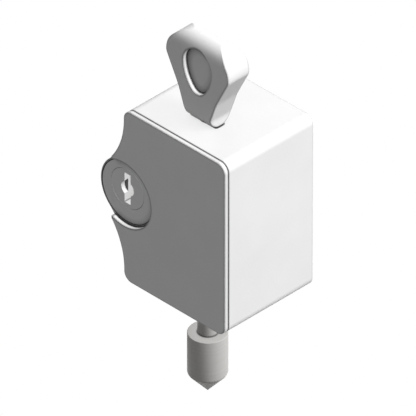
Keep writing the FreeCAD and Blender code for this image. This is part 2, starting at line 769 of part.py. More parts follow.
def main():
    os.makedirs("parts", exist_ok=True)
    save("case", make_case())
    save("cover", make_cover())
    save("cover_screws", make_cover_screws())
    save("bolt", make_bolt())
    save("knob", make_knob())
    save("slide_block", make_slide_block())
    save("slide_pin", slide_pin_bar(slide_pin_radius))
    save("bolt_spring", make_bolt_spring())
    save("spring_washer", make_spring_washer())
    save("top_bush", make_top_bush())
    save("bottom_bush", make_bottom_bush())
    save("stop_buffer", make_buffer())
    save("cylinder_shell", make_shell())
    save("cylinder_screw", make_grub_screw())
    save("chamber_strip", make_strip())
    save("cylinder_plug", make_plug())
    for index, y in enumerate(pin_places()):
        number = index + 1
        save("key_pin_%d" % number, make_key_pin(y, key_pin_lengths[index]))
        save("driver_pin_%d" % number, make_driver_pin(y))
        save("pin_spring_%d" % number, make_pin_spring(y))
    save("stop_washer", make_stop_washer())
    save("lock_cam", make_cam())
    save("cam_washer", make_cam_washer())
    save("cam_screw", make_cam_screw())


main()
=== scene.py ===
# %% [markdown]
# # A keyed bolt lock
# A lock for a door or a panel. A spring-loaded bolt points down out of a white case, a knob on top
# lifts it, and a key in the round cylinder at the side blocks it. The solid model is imported first
# and stays as it is. This script gives each piece its finish, and makes smoother, finer pieces
# where the solids are plain.

import json
import math

import bmesh
import bpy
from mathutils import Matrix, Vector


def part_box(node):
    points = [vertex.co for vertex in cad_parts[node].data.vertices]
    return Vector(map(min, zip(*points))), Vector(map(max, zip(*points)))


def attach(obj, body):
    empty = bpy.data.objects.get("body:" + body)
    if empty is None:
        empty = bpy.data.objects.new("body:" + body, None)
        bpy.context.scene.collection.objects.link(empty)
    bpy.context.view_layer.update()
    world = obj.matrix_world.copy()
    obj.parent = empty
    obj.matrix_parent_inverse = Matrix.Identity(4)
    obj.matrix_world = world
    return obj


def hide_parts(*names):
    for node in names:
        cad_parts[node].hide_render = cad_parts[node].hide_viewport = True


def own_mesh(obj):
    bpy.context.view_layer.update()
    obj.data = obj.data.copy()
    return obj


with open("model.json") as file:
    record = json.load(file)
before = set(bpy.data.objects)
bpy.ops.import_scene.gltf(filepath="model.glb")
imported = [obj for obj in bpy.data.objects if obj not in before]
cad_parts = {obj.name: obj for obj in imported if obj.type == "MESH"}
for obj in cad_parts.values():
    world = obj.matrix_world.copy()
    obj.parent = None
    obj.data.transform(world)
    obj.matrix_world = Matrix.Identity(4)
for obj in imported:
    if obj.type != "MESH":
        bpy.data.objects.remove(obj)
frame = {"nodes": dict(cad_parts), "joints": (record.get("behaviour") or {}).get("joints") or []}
nodes = frame["nodes"]
joints = {joint["name"]: joint for joint in frame["joints"]}
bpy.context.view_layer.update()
for node in nodes.values():
    node.data.materials.clear()
for material in list(bpy.data.materials):
    bpy.data.materials.remove(material)

# %% [markdown]
# ## Camera
# The picture is an isometric view: the camera looks along the diagonal of a cube, so upright,
# left-going and right-going edges are all shortened alike. An orthographic camera would give that
# exactly, but its picture doesn't change with its distance, and the distance is what fits the lock
# into the picture when the camera is moved round it. A very long lens from far away gives the same
# view to within a pixel.

# %% Camera
MM = 0.001
LENS = 1650.0
SENSOR = 36.0
DISTANCE = 5.8191
look_at = Vector((0.0, -23.75, -1.51)) * MM
toward = Vector((1.0, -1.0, 1.0)).normalized()


def put(name, data):
    """An object at the origin of the scene that holds the data."""
    made = bpy.data.objects.new(name, data)
    bpy.context.scene.collection.objects.link(made)
    return made


camera_data = bpy.data.cameras.new("camera")
camera_data.lens = LENS
camera_data.sensor_width = SENSOR
camera_data.clip_end = 20.0
camera = put("camera", camera_data)
camera.location = look_at + toward * DISTANCE
camera.rotation_euler = toward.to_track_quat("Z", "Y").to_euler()
bpy.context.scene.camera = camera
print("camera:", LENS, "mm lens,", DISTANCE, "m from the lock")

# %% [markdown]
# ## World and floor
# The lock is shown on plain white. Stronger light would turn the background white too, but it
# would bleach the lock. So world and floor are white only to the camera and in mirror-like
# reflections, and to everything else they are a dim fill for the shaded sides. The floor lies well
# below the lock and is clear from its underside, so the lock can be looked at from below.

# %% White for the camera
def shader(tree, kind, **inputs):
    """Adds a node and sets its inputs by name."""
    node = tree.nodes.new(kind)
    for name, value in inputs.items():
        node.inputs[name.replace("_", " ")].default_value = value
    return node


def white_for_camera(tree, dim, white):
    """The white shader for camera, glossy and transmission rays, and the dim one for all others."""
    path = tree.nodes.new("ShaderNodeLightPath")
    seen = path.outputs["Is Camera Ray"]
    for kind in ("Is Glossy Ray", "Is Transmission Ray"):
        either = tree.nodes.new("ShaderNodeMath")
        either.operation = "MAXIMUM"
        tree.links.new(seen, either.inputs[0])
        tree.links.new(path.outputs[kind], either.inputs[1])
        seen = either.outputs[0]
    mix = tree.nodes.new("ShaderNodeMixShader")
    tree.links.new(seen, mix.inputs[0])
    tree.links.new(dim.outputs[0], mix.inputs[1])
    tree.links.new(white.outputs[0], mix.inputs[2])
    return mix


# %% World
WORLD_FILL = 0.325
WHITE = (1, 1, 1, 1)

world = bpy.data.worlds.new("studio")
world.use_nodes = True
bpy.context.scene.world = world
tree = world.node_tree
fill = tree.nodes["Background"]
fill.inputs["Color"].default_value = WHITE
fill.inputs["Strength"].default_value = WORLD_FILL
plain = shader(tree, "ShaderNodeBackground", Color=WHITE, Strength=1.0)
mix = white_for_camera(tree, fill, plain)
tree.links.new(mix.outputs[0], tree.nodes["World Output"].inputs[0])
print("world fill:", WORLD_FILL)

# %% Floor
FLOOR_RADIUS = 4.0
FLOOR_HEIGHT = -0.25
FLOOR_GREY = 0.30

floor_mesh = bpy.data.meshes.new("floor")
bm = bmesh.new()
bmesh.ops.create_circle(bm, cap_ends=True, radius=FLOOR_RADIUS, segments=64)
bmesh.ops.translate(bm, verts=bm.verts, vec=(0, 0, FLOOR_HEIGHT))
bm.to_mesh(floor_mesh)
bm.free()
floor = put("floor", floor_mesh)

floor_paint = bpy.data.materials.new("floor_paint")
floor_paint.use_nodes = True
tree = floor_paint.node_tree
dull = shader(tree, "ShaderNodeBsdfDiffuse", Color=(FLOOR_GREY, FLOOR_GREY, FLOOR_GREY, 1))
glow = shader(tree, "ShaderNodeEmission", Color=WHITE, Strength=1.0)
mix = white_for_camera(tree, dull, glow)
side = tree.nodes.new("ShaderNodeNewGeometry")
clear = tree.nodes.new("ShaderNodeBsdfTransparent")
from_above = tree.nodes.new("ShaderNodeMixShader")
tree.links.new(side.outputs["Backfacing"], from_above.inputs[0])
tree.links.new(mix.outputs[0], from_above.inputs[1])
tree.links.new(clear.outputs[0], from_above.inputs[2])
tree.links.new(from_above.outputs[0], tree.nodes["Material Output"].inputs[0])
floor.data.materials.append(floor_paint)
print("floor:", FLOOR_RADIUS, "m in radius,", FLOOR_HEIGHT, "m high")

# %% [markdown]
# ## Lamps
# Light from the right, a little behind and above fills the top and the right side about alike and
# leaves the front in shade, which is what makes the three sides read. A single lamp would do that,
# with a hard shadow of the knob on the case. Here two softboxes hang in the same place: one casts
# shadows, and a stronger one casts none, so the shadow stays faint and the light reaches into the
# key slot and the dimple. White surfaces would throw their light on each other and wash out the
# modelling, so both softboxes light only what they shine on, with no bounces. The view transform is
# Standard, which shows every grey as it is, where the film-like default would dull the whites.

# %% Lamps
SOFTBOX = 1.6
LAMP_DISTANCE = 3.2
toward_lamp = Vector((1.0, 0.6, 1.12)).normalized()


def softbox(name, energy, shadow):
    """A round softbox that shines on the lock from the right and above."""
    data = bpy.data.lights.new(name, "AREA")
    data.shape = "DISK"
    data.size = SOFTBOX
    data.energy = energy
    data.use_shadow = shadow
    data.cycles.max_bounces = 0
    made = put(name, data)
    made.location = look_at + toward_lamp * LAMP_DISTANCE
    made.rotation_euler = toward_lamp.to_track_quat("Z", "Y").to_euler()
    print("lamp:", name, energy, "W")


softbox("key", 12.0, True)
softbox("key_fill", 125.0, False)
bpy.context.scene.view_settings.view_transform = "Standard"

# %% [markdown]
# ## Marks on a surface
# Every finish is made of the same few things: noise at a real size, a colour and a gloss that
# drift with it, and a very low bump. A photographed texture would need a flat unwrapping of every
# piece, while noise fills space and needs none. Turned parts carry rings round their axis, so their
# noise is read from the distance to the axis and the way along it.

# %% Noise
def new_material(name):
    """A node material and its main shader."""
    material = bpy.data.materials.new(name)
    material.use_nodes = True
    print("finish:", name)
    return material, material.node_tree, material.node_tree.nodes["Principled BSDF"]


def noise(tree, size, detail=2.0):
    """Noise on Object coordinates whose hills are about size metres apart."""
    place = tree.nodes.new("ShaderNodeTexCoord")
    texture = shader(tree, "ShaderNodeTexNoise", Scale=1.0 / size, Detail=detail, Roughness=0.5)
    tree.links.new(place.outputs["Object"], texture.inputs["Vector"])
    return texture


# %% Rings
def rings(tree, middle, along, size):
    """Noise in rings round an axis through the point middle, along Y or Z."""
    place = tree.nodes.new("ShaderNodeTexCoord")
    centred = tree.nodes.new("ShaderNodeVectorMath")
    centred.operation = "SUBTRACT"
    centred.inputs[1].default_value = middle
    tree.links.new(place.outputs["Object"], centred.inputs[0])
    parts = tree.nodes.new("ShaderNodeSeparateXYZ")
    tree.links.new(centred.outputs[0], parts.inputs[0])
    across = tree.nodes.new("ShaderNodeCombineXYZ")
    tree.links.new(parts.outputs["X"], across.inputs["X"])
    tree.links.new(parts.outputs["Y" if along == "Z" else "Z"], across.inputs["Y"])
    radius = tree.nodes.new("ShaderNodeVectorMath")
    radius.operation = "LENGTH"
    tree.links.new(across.outputs[0], radius.inputs[0])
    ring = tree.nodes.new("ShaderNodeCombineXYZ")
    tree.links.new(radius.outputs["Value"], ring.inputs["X"])
    tree.links.new(parts.outputs[along], ring.inputs["Y"])
    texture = shader(tree, "ShaderNodeTexNoise", Scale=1.0 / size, Detail=2.0, Roughness=0.5)
    tree.links.new(ring.outputs[0], texture.inputs["Vector"])
    return texture


# %% Colour, gloss and bump
MIDDLE = (0.35, 0.65)


def vary(tree, source, low, high, target, span=MIDDLE):
    """Stretches the span of a texture onto low to high and feeds it to a socket."""
    stretch = tree.nodes.new("ShaderNodeMapRange")
    stretch.inputs["From Min"].default_value = span[0]
    stretch.inputs["From Max"].default_value = span[1]
    stretch.inputs["To Min"].default_value = low
    stretch.inputs["To Max"].default_value = high
    tree.links.new(source, stretch.inputs["Value"])
    tree.links.new(stretch.outputs["Result"], target)


def tint(tree, source, dark, light, bsdf):
    """Colour that drifts between two tones with a texture."""
    ramp = tree.nodes.new("ShaderNodeValToRGB")
    for stop, position, colour in zip(ramp.color_ramp.elements, MIDDLE, (dark, light)):
        stop.position = position
        stop.color = (*colour, 1)
    tree.links.new(source, ramp.inputs["Fac"])
    tree.links.new(ramp.outputs["Color"], bsdf.inputs["Base Color"])
    return ramp


def bump(tree, height, depth, bsdf, edge=0.0):
    """Raises the surface by a texture of the given depth, and rounds sharp edges by a radius."""
    node = shader(tree, "ShaderNodeBump", Strength=1.0, Distance=depth)
    tree.links.new(height, node.inputs["Height"])
    if edge:
        soft = shader(tree, "ShaderNodeBevel", Radius=edge)
        soft.samples = 6
        tree.links.new(soft.outputs["Normal"], node.inputs["Normal"])
    tree.links.new(node.outputs["Normal"], bsdf.inputs["Normal"])


# %% [markdown]
# ## Painted shade in crevices, and worn edges
# Shade falls where two parts nearly meet, and here that shade is painted into the colour. A coat is
# also thinnest on its outer edges, where hands rub it. Both could be painted by hand, but the
# Ambient
# Occlusion node finds such places by itself: it measures how much other surface stands near. One
# helper paints shade on the last half millimetre of every seam. A second one paints shade on the
# flat bottom of a recess towards its edge and leaves the recess's walls bright. A third one greys
# the outer edges: there the same node looks through the solid, to the surface on the other side.

# %% Painted crevice shade and worn edges
def painted_shade_and_wear(tree, colour, bsdf, reach=0.0006, dark=0.05, span=(0.74, 0.97), inside=False):
    """Darkens a colour where surfaces are closer than reach metres, which paints shade into seams;
    looking inside, it greys outer edges. Gives back the shade node.
    """
    near = shader(tree, "ShaderNodeAmbientOcclusion", Distance=reach)
    near.samples = 8
    near.inside = inside
    shade = tree.nodes.new("ShaderNodeHueSaturation")
    vary(tree, near.outputs["AO"], dark, 1.0, shade.inputs["Value"], span)
    tree.links.new(colour.outputs["Color"], shade.inputs["Color"])
    tree.links.new(shade.outputs["Color"], bsdf.inputs["Base Color"])
    return shade


def painted_recess_shade(tree, colour, bsdf):
    """Paints shade on the bottom of a recess near its edge, where it faces to the front or the back.
    """
    shade = painted_shade_and_wear(tree, colour, bsdf, reach=0.003, dark=0.45, span=(0.68, 0.97))
    facing = tree.nodes.new("ShaderNodeNewGeometry")
    parts = tree.nodes.new("ShaderNodeSeparateXYZ")
    tree.links.new(facing.outputs["Normal"], parts.inputs[0])
    either_way = tree.nodes.new("ShaderNodeMath")
    either_way.operation = "ABSOLUTE"
    tree.links.new(parts.outputs["Y"], either_way.inputs[0])
    vary(tree, either_way.outputs[0], 0.0, 1.0, shade.inputs["Fac"], (0.85, 0.98))
    return shade


def worn(tree, colour, bsdf):
    """Greys a coat along its outer edges."""
    return painted_shade_and_wear(tree, colour, bsdf, reach=0.0007, dark=0.35, span=(0.62, 0.98), inside=True)


# %% [markdown]
# ## Powder coat
# The case, cover and knob are die castings with a satin white powder coat. Powder melts into a
# skin with a soft orange-peel surface: tiny round hills about a millimetre apart. A plain white
# would look like nothing in particular, so noise drives a very low bump and a slight change of
# gloss at that real size: the paint is smooth from afar and alive from near. Its edges are a little
# grey, which also draws the outline of a white lock on white.

# %% Powder coat
PEEL, PEEL_HEIGHT, CLOUD = 0.0009, 0.000012, 0.02


def powder_coat(name, dark=0.79, light=0.82, shade_recesses=False):
    """A satin coat between two greys, with painted shade in its seams. With shade_recesses it also
    gets painted shade on the bottoms of its recesses.
    """
    material, tree, bsdf = new_material(name)
    peel = noise(tree, PEEL, detail=1.0)
    drift = noise(tree, CLOUD)
    ramp = tint(tree, drift.outputs["Fac"], (dark,) * 3, (light,) * 3, bsdf)
    # Painted shade in the seams, then grey worn outer edges.
    shade = worn(tree, painted_shade_and_wear(tree, ramp, bsdf), bsdf)
    # The knob's dimples get painted shade on their bottoms near the edge.
    if shade_recesses:
        painted_recess_shade(tree, shade, bsdf)
    vary(tree, drift.outputs["Fac"], 0.48, 0.56, bsdf.inputs["Roughness"])
    bsdf.inputs["Specular IOR Level"].default_value = 0.25
    bump(tree, peel.outputs["Fac"], PEEL_HEIGHT, bsdf, edge=0.00012)
    return material


case_paint = powder_coat("case_paint")
knob_paint = powder_coat("knob_paint", 0.78, 0.81, shade_recesses=True)

# %% [markdown]
# ## Metals
# The bolt is turned from steel, with fine rings from the lathe, and bead-blasted to a dull grey
# that mirrors nothing. Such a skin scatters light as a matt paint does, so its metallic value is
# zero. A shiny metal would show little but the white studio here. Inside are plated screws, drawn
# spring wire, brass pins and bronze bushes, which are bright metal. One helper makes each of them
# from its colour and its gloss.

# %% Metals
def solid_box(name):
    """Lowest and highest corner of a solid node in millimetres, to the nearest thousandth."""
    return [[round(value / MM, 3) for value in corner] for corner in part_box(name)]


bolt_low, bolt_high = solid_box("bolt")
BOLT_Y = round((bolt_low[1] + bolt_high[1]) / 2, 3)
BOLT_AXIS = (0.0, BOLT_Y * MM, 0.0)
print("bolt axis:", BOLT_AXIS)

RING, FINE_RING = 0.0005, 0.00016
GRAIN, FINE_GRAIN = 0.004, 0.0004
MARK_HEIGHT = 0.000003


def metal(name, colour, roughness, metallic=1.0, specular=0.5, axis=None):
    """A metal with fine grain, or with lathe rings round an upright axis through a point."""
    material, tree, bsdf = new_material(name)
    bsdf.inputs["Metallic"].default_value = metallic
    bsdf.inputs["Specular IOR Level"].default_value = specular
    if axis:
        drift = rings(tree, axis, "Z", RING)
        marks = rings(tree, axis, "Z", FINE_RING)
    else:
        drift = noise(tree, GRAIN, detail=3.0)
        marks = noise(tree, FINE_GRAIN)
    dark = [0.94 * value for value in colour]
    ramp = tint(tree, drift.outputs["Fac"], dark, colour, bsdf)
    # Painted shade where the metal nearly meets another surface, such as at the foot of the bolt's
    # rod.
    painted_shade_and_wear(tree, ramp, bsdf, dark=0.35)
    vary(tree, drift.outputs["Fac"], roughness - 0.04, roughness + 0.04, bsdf.inputs["Roughness"])
    bump(tree, marks.outputs["Fac"], MARK_HEIGHT, bsdf, edge=0.00008)
    return material


bolt_steel = metal("bolt_steel", (0.53, 0.52, 0.506), 0.46, metallic=0.0, specular=0.2,
                   axis=BOLT_AXIS)
screw_steel = metal("screw_steel", (0.62, 0.62, 0.60), 0.30)
spring_steel = metal("spring_steel", (0.45, 0.45, 0.46), 0.28)
cam_steel = metal("cam_steel", (0.50, 0.50, 0.51), 0.38)
slide_metal = metal("slide_metal", (0.56, 0.57, 0.58), 0.50)
pin_brass = metal("pin_brass", (0.72, 0.55, 0.26), 0.25)
bush_bronze = metal("bush_bronze", (0.55, 0.38, 0.22), 0.45, axis=BOLT_AXIS)

# %% [markdown]
# ## Cylinder coat and rubber
# The key cylinder's face is turned before it gets a thin white coat, and the rings still show
# through it a little. The stop buffer is moulded rubber: nearly black, dull, with a fine grit.
# Neither needs a helper of its own, because each of them is used only once.

# %% Cylinder coat and rubber
plug_middle = joints["key_turn"]["pos_m"]
PLUG_AXIS = (plug_middle[0], 0.0, plug_middle[2])
PLUG_RING, PLUG_RING_HEIGHT = 0.0003, 0.000004
GRIT, GRIT_HEIGHT = 0.0006, 0.00002

cylinder_coat, tree, bsdf = new_material("cylinder_coat")
drift = noise(tree, 0.01)
ramp = tint(tree, drift.outputs["Fac"], (0.78, 0.78, 0.78), (0.81, 0.81, 0.81), bsdf)
# Painted shade in the seams, and painted shade on the face near the edge of the cover's cut-out.
painted_recess_shade(tree, painted_shade_and_wear(tree, ramp, bsdf, dark=0.3, span=(0.60, 0.90)), bsdf)
vary(tree, drift.outputs["Fac"], 0.42, 0.48, bsdf.inputs["Roughness"])
bsdf.inputs["Specular IOR Level"].default_value = 0.3
lathe = rings(tree, PLUG_AXIS, "Y", PLUG_RING)
bump(tree, lathe.outputs["Fac"], PLUG_RING_HEIGHT, bsdf, edge=0.0001)

buffer_rubber, tree, bsdf = new_material("buffer_rubber")
grit = noise(tree, GRIT, detail=3.0)
tint(tree, grit.outputs["Fac"], (0.018, 0.018, 0.019), (0.03, 0.03, 0.032), bsdf)
bsdf.inputs["Roughness"].default_value = 0.75
bump(tree, grit.outputs["Fac"], GRIT_HEIGHT, bsdf)

# %% [markdown]
# ## Which piece wears what
# Finishes picked by hand would have to be picked again whenever the solids change, so each solid
# piece gets its finish by name. Case and cover share one powder coat, since they are coated
# together. What isn't named here is a plated screw, pin or washer.

# %% Which piece wears what
finish_of = {
    "case": case_paint, "cover": case_paint, "knob": knob_paint, "bolt": bolt_steel,
    "cylinder_shell": cylinder_coat, "cylinder_plug": cylinder_coat, "slide_block": slide_metal,
    "stop_buffer": buffer_rubber, "top_bush": bush_bronze, "bottom_bush": bush_bronze,
    "bolt_spring": spring_steel, "lock_cam": cam_steel, "stop_washer": cam_steel,
    "chamber_strip": cam_steel,
}
for name, node in nodes.items():
    finish = finish_of.get(name, screw_steel)
    if name.startswith("pin_spring"):
        finish = spring_steel
    elif "_pin_" in name:
        finish = pin_brass
    node.data.materials.append(finish)
print({name: node.data.materials[0].name for name, node in nodes.items()})

# %% [markdown]
# ## Shaping tools
# Pieces are drafted in millimetres about their own axis and scaled to metres at the end. A turned
# part could be stacked from ready-made cylinders, but then its inner faces would have to come out
# again, so it is an outline spun once round the Z axis. Sharp edges of a real part are broken by a
# small radius, which catches the light, so one helper bevels every edge that is sharper than a
# given angle and lies where it should. Holes are cut with an exact Boolean.

# %% Lines, arcs and turned outlines
NEAR = 0.01


def line(bm, start, x, z):
    """Draws an edge from a vertex to a place in the X-Z plane and gives back its end."""
    end = bm.verts.new((x, 0, z))
    bm.edges.new((start, end))
    return end


def arc(bm, start, centre, degrees, steps):
    """Draws an arc from a vertex about a centre in the X-Z plane and gives back its end."""
    made = bmesh.ops.spin(bm, geom=[start], cent=(centre[0], start.co.y, centre[1]),
                          axis=(0, -1, 0), angle=math.radians(degrees), steps=steps)
    return made["geom_last"][0]


def turned(outline, steps):
    """A turned solid about the Z axis from (radius, height) points that start and end on it."""
    bm = bmesh.new()
    points = [bm.verts.new((radius, 0, height)) for radius, height in outline]
    edges = [bm.edges.new(pair) for pair in zip(points, points[1:])]
    bmesh.ops.spin(bm, geom=points + edges, cent=(0, 0, 0), axis=(0, 0, 1), angle=2 * math.pi,
                   steps=steps, use_merge=True)
    bmesh.ops.remove_doubles(bm, verts=bm.verts, dist=0.0005)
    bmesh.ops.recalc_face_normals(bm, faces=bm.faces)
    return bm


def rim(height, radius=0.0):
    """A test for points at a height that lie on or outside a radius."""
    return lambda co: abs(co.z - height) < NEAR and co.xy.length > radius - NEAR


def soften(bm, radius, segments, least, where):
    """Rounds the edges that are sharper than least degrees and lie where the test says."""
    sharp = [edge for edge in bm.edges
             if edge.is_manifold and edge.calc_face_angle(0) > math.radians(least)
             and all(where(vert.co) for vert in edge.verts)]
    bmesh.ops.bevel(bm, geom=sharp, offset=radius, offset_type="OFFSET", segments=segments,
                    profile=0.5, affect="EDGES", material=-1, clamp_overlap=True)


# %% Bars and cuts
def bar(bm, radius, low, high, matrix=Matrix(), segments=32):
    """Adds a round bar along Z from low to high, then places it by a matrix."""
    middle = Matrix.Translation((0, 0, (low + high) / 2))
    bmesh.ops.create_cone(bm, cap_ends=True, segments=segments, radius1=radius, radius2=radius,
                          depth=high - low, matrix=matrix @ middle)


def carve(bm, cutter):
    """Cuts one closed mesh out of another and gives back the result."""
    blanks = []
    for part in (bm, cutter):
        mesh = bpy.data.meshes.new("blank")
        part.to_mesh(mesh)
        part.free()
        blanks.append(put("blank", mesh))
    cut = blanks[0].modifiers.new("cut", "BOOLEAN")
    cut.operation = "DIFFERENCE"
    cut.solver = "EXACT"
    cut.object = blanks[1]
    bpy.context.view_layer.update()
    result = bmesh.new()
    result.from_object(blanks[0], bpy.context.evaluated_depsgraph_get())
    for blank in blanks:
        mesh = blank.data
        bpy.data.objects.remove(blank)
        bpy.data.meshes.remove(mesh)
    return result


# %% Finished pieces
def finish_piece(name, bm, material, body, replaced, sharp=35, place=Matrix()):
    """Makes a piece in metres that rides on a body and stands for the solid node it replaces."""
    bmesh.ops.transform(bm, matrix=Matrix.Scale(MM, 4) @ place, verts=bm.verts)
    bmesh.ops.recalc_face_normals(bm, faces=bm.faces)
    mesh = bpy.data.meshes.new(name)
    bm.to_mesh(mesh)
    bm.free()
    mesh.shade_smooth()
    mesh.set_sharp_from_angle(angle=math.radians(sharp))
    mesh.materials.append(material)
    made = put(name, mesh)
    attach(made, body)
    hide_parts(replaced)
    low = [min(vert.co[axis] for vert in mesh.vertices) / MM for axis in range(3)]
    high = [max(vert.co[axis] for vert in mesh.vertices) / MM for axis in range(3)]
    print(name, len(mesh.polygons), "faces", [round(value, 2) for value in low + high])
    return made


# %% [markdown]
# ## Bolt
# Stem, rod, head and point are turned in one piece. The outline is spun round, the wall of the head
# runs into the cone of the point through a radius, the small broken edges are bevels, and the hole
# for the pin that holds the slide block is drilled across. Radii could be drawn into the outline as
# well, but a bevel keeps the outline short, with one point for each corner on the workshop drawing.
# The bolt's ends and its widest radius are measured on the solid bolt, so both are the same size.

# %% Bolt
STEM, ROD, HEAD = 1.8, 3.175, bolt_high[0]
STEM_TOP, POINT = bolt_high[2], bolt_low[2]
ROD_TOP, SHOULDER, HEAD_END = 12.55, -47.75, -62.69
PIN_HEIGHT, PIN_HOLE, DRILL_REACH = -19.65, 1.27, 8
at_bolt = Matrix.Translation((0, BOLT_Y, 0))
print("bolt: radius", HEAD, "from", POINT, "to", STEM_TOP)

bm = turned([
    (0, STEM_TOP), (STEM, STEM_TOP), (STEM, ROD_TOP), (ROD, ROD_TOP), (ROD, SHOULDER),
    (HEAD, SHOULDER), (HEAD, HEAD_END), (0, POINT),
], steps=96)
soften(bm, radius=0.56, segments=8, least=30, where=rim(HEAD_END))
soften(bm, radius=0.25, segments=3, least=60, where=rim(SHOULDER, HEAD))
soften(bm, radius=0.4, segments=3, least=60, where=rim(STEM_TOP))
soften(bm, radius=0.2, segments=2, least=60, where=rim(ROD_TOP, ROD))
across = Matrix.Translation((0, 0, PIN_HEIGHT)) @ Matrix.Rotation(math.pi / 2, 4, "Y")
drill = bmesh.new()
bar(drill, PIN_HOLE, -DRILL_REACH, DRILL_REACH, across)
bm = carve(bm, drill)
finish_piece("bolt_turned", bm, bolt_steel, "bolt", "bolt", sharp=25, place=at_bolt)

# %% [markdown]
# ## Knob
# The knob is a flared finger grip: seen from the front it has a narrow foot, a neck, leaning flanks
# and round shoulders under a short flat top, and seen from the side it is a bar with fully rounded
# ends. So at every height it is a rectangle, as wide as the front outline and as thick as the side
# outline. The front outline is drawn here with lines and spins: the arcs at neck and waist are
# hollow, and those of cheek and shoulder bulge. Height and thickness are those of the solid knob.

# %% Knob outline
knob_low, knob_high = solid_box("knob")
FOOT = knob_low[2]
KNOB_HIGH = round(knob_high[2] - knob_low[2], 3)
KNOB_HALF = round((knob_high[1] - knob_low[1]) / 2, 3)
FOOT_HALF = 5.5
NECK, WAIST, CHEEK, CROWN = (11.5, 2.24), (26.676, 3.276), (9.87, 22.113), (4.97, 22.113)
WAIST_START, CHEEK_START = (7.778, 9.824), (12.993, 20.533)
NECK_TURN, FLANK_TURN, CROWN_TURN = 19.11, 26.837, 82.957

draft = bmesh.new()
vert = draft.verts.new((FOOT_HALF, 0, 0))
vert = line(draft, vert, FOOT_HALF, NECK[1])
vert = arc(draft, vert, NECK, -NECK_TURN, steps=4)
vert = line(draft, vert, *WAIST_START)
vert = arc(draft, vert, WAIST, NECK_TURN - FLANK_TURN, steps=4)
vert = line(draft, vert, *CHEEK_START)
vert = arc(draft, vert, CHEEK, FLANK_TURN, steps=8)
vert = arc(draft, vert, CROWN, CROWN_TURN, steps=28)
outline = sorted((vert.co.z, vert.co.x) for vert in draft.verts)
draft.free()
widest = max(width for height, width in outline)
print("knob: foot", FOOT, "height", KNOB_HIGH, "half thickness", KNOB_HALF)
print("knob outline:", len(outline), "points, widest", round(widest, 2))

# %% [markdown]
# A Subdivision Surface over a rough block would give a soft knob quickly, but not this exact
# outline. So each point of the outline becomes one rounded rectangle, and the rectangles are bridged
# into a skin. Their rounded corners give the casting's soft edges all the way up. The rows lie
# closer together towards foot and top, where the thickness changes fast.

# %% Knob rows
END_ROWS, FIRST_TURN, LEAST_GAP = 14, 2, 0.004


def half_width(height):
    """Half the knob's width at a height above its foot."""
    for (low, narrow), (high, wide) in zip(outline, outline[1:]):
        if low <= height <= high:
            return narrow + (wide - narrow) * (height - low) / (high - low)
    return outline[-1][1]


def half_thickness(height):
    """Half the knob's thickness at a height above its foot, with fully rounded ends."""
    past = max(KNOB_HALF - height, height - (KNOB_HIGH - KNOB_HALF), 0)
    return math.sqrt(KNOB_HALF ** 2 - past ** 2)


rows = {round(height, 2) for height, width in outline[1:-1]}
for step in range(END_ROWS + 1):
    turn = math.radians(FIRST_TURN + (90 - FIRST_TURN) * step / END_ROWS)
    rise = KNOB_HALF * (1 - math.cos(turn))
    rows |= {round(rise, 3), round(KNOB_HIGH - rise, 3)}
rows = sorted(rows)
rows = [rows[0]] + [high for low, high in zip(rows, rows[1:]) if high - low > LEAST_GAP]
print("knob rows:", len(rows))

# %% Knob skin
EDGE = 0.35

bm = bmesh.new()
last = None
for index, height in enumerate(rows):
    deep = half_thickness(height)
    size = Matrix.Diagonal((half_width(height), deep, 1, 1))
    grid = bmesh.ops.create_grid(bm, x_segments=1, y_segments=1, size=1.0,
                                 matrix=Matrix.Translation((0, 0, FOOT + height)) @ size)
    rounded = bmesh.ops.bevel(bm, geom=grid["verts"], offset=min(EDGE, 0.8 * deep),
                              offset_type="OFFSET", segments=4, profile=0.5,
                              affect="VERTICES", material=-1)["verts"]
    loop = list({edge for vert in rounded for edge in vert.link_edges})
    if 0 < index < len(rows) - 1:
        inner = list({face for vert in rounded for face in vert.link_faces})
        bmesh.ops.delete(bm, geom=inner, context="FACES_ONLY")
    if last:
        bmesh.ops.bridge_loops(bm, edges=last + loop)
    last = loop
print("knob skin:", len(bm.faces), "faces")

# %% [markdown]
# ## Dimples
# The dimple in each face is an egg, wide end up, drawn from four arcs. A stretched sphere would
# leave a dish, and the real one has upright walls and a flat floor. So the same arcs, drawn a
# little larger or smaller, give loops that bridge into a cutter with a flared lip and a rounded
# floor, and the dimple's rim and corner come out soft. The bore for the stem is cut along with them.

# %% Dimple outline
def egg(bm, grow, y):
    """Closed egg-shaped loop in the front plane, grown outwards by grow. Gives back its edges."""
    known = set(bm.edges)
    high, low, wide, side, lean = FOOT + 21.4, FOOT + 14.5, 6.0, 7.4667, 42.73
    vert = bm.verts.new((wide + grow, y, high))
    vert = arc(bm, vert, (0, high), 180, steps=20)
    vert = arc(bm, vert, (side, high), lean, steps=10)
    vert = arc(bm, vert, (0, low), 180 - 2 * lean, steps=10)
    vert = arc(bm, vert, (-side, high), lean, steps=10)
    loop = [edge for edge in bm.edges if edge not in known]
    ends = {vert for edge in loop for vert in edge.verts}
    bmesh.ops.remove_doubles(bm, verts=list(ends), dist=NEAR)
    return [edge for edge in bm.edges if edge not in known]


# %% Dimples and bore
DIMPLE, LIP, FLOOR, PAST_FACE = 1.6, 0.2, 0.15, 0.5
STEM_BORE, PAST_STEM = 1.85, 0.3

profile = [(LIP, -PAST_FACE)]
for step in range(5):
    turn = math.radians(90 * step / 4)
    profile.append((LIP - LIP * math.sin(turn), LIP - LIP * math.cos(turn)))
for step in range(4):
    turn = math.radians(90 * step / 3)
    profile.append((FLOOR * math.cos(turn) - FLOOR, DIMPLE - FLOOR + FLOOR * math.sin(turn)))

